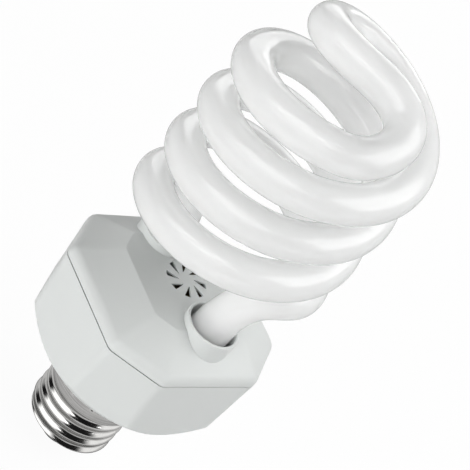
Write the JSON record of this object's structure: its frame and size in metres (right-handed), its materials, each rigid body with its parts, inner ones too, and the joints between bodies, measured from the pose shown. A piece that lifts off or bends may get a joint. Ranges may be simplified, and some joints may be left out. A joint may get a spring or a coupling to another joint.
{
  "type": "compact fluorescent lamp",
  "caption": "Compact fluorescent lamp: a white double spiral glass tube standing in collars on a pale faceted ballast housing, with a metal screw cap below.",
  "frame": {"origin": "tip of the centre contact, on the lamp's axis", "axes": "+Z along the lamp's axis from the cap to the top of the tube, +X through the tube's two legs"},
  "size_m": [0.0602, 0.0602, 0.1603],
  "materials": {
    "coated_glass": "clear glass tube coated white on the inside, so it is opaque",
    "housing_plastic": "pale cool grey moulded plastic, satin",
    "cap_metal": "thin pressed metal, bright nickel plate",
    "dark_glass": "opaque near-black glass",
    "tinned_metal": "tinned metal, dull bright",
    "cement": "off-white cement, matt",
    "board": "tan paper laminate, matt",
    "bobbin_plastic": "black moulded plastic",
    "ferrite": "dark grey sintered ferrite",
    "copper": "varnished copper wire",
    "film_red": "dipped red-brown resin",
    "capacitor_sleeve": "shrunk dark plastic sleeve",
    "resistor_body": "beige lacquer",
    "moulded_black": "black moulded resin",
    "wire_red": "red insulated wire",
    "wire_black": "black insulated wire"
  },
  "bodies": {
    "root": {"ballast_board": "board", "cap_insulator": "dark_glass", "centre_contact": "tinned_metal", "choke_bobbin": "bobbin_plastic", "choke_core": "ferrite", "choke_winding": "copper", "coupling_capacitor": "film_red", "drive_toroid": "ferrite", "electrolytic_capacitor": "capacitor_sleeve", "filter_inductor": "ferrite", "fuse_resistor": "resistor_body", "leg_cement_a": "cement", "leg_cement_b": "cement", "live_wire": "wire_red", "lower_housing": "housing_plastic", "neutral_wire": "wire_black", "rectifier_diodes": "moulded_black", "resonance_capacitor": "film_red", "screw_shell": "cap_metal", "small_resistors": "resistor_body", "spiral_tube": "coated_glass", "start_capacitor": "film_red", "toroid_windings": "copper", "transistor_a": "moulded_black", "transistor_b": "moulded_black", "tube_leads": "tinned_metal", "upper_cover": "housing_plastic", "wrap_pins": "tinned_metal"}
  },
  "joints": []
}
